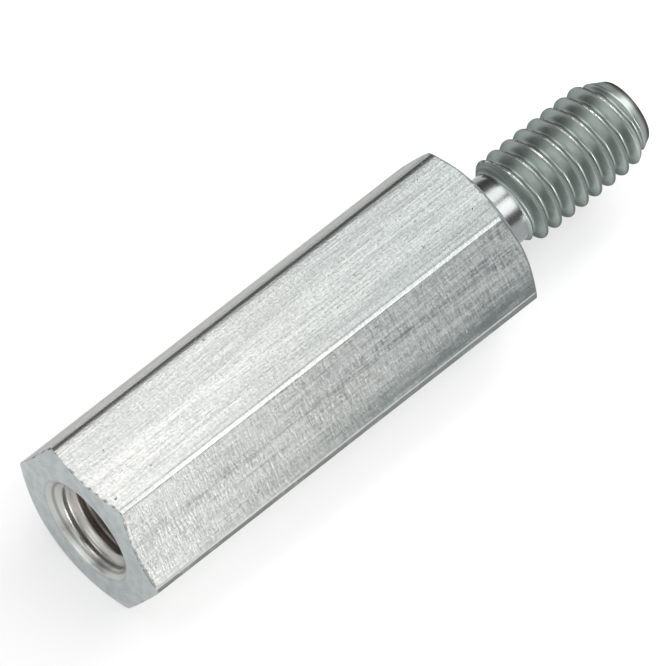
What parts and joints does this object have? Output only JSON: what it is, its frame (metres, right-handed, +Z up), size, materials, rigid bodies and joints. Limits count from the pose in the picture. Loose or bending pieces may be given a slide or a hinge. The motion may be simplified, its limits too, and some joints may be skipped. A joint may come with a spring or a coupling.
{
  "type": "hex standoff",
  "caption": "Hexagon bar spacer with a threaded stud on one end and a blind tapped hole in the other, screwed between boards or panels to hold them apart.",
  "frame": {"origin": "on the surface it lies on, under the middle of its length and of its width", "axes": "+X along the axis towards the stud, +Z up from the flat that it lies on"},
  "size_m": [0.0278, 0.008, 0.0069],
  "materials": {
    "zinc_plated_steel": "bright zinc plate over drawn and turned steel"
  },
  "bodies": {
    "root": {"hex_standoff": "zinc_plated_steel"}
  },
  "joints": []
}
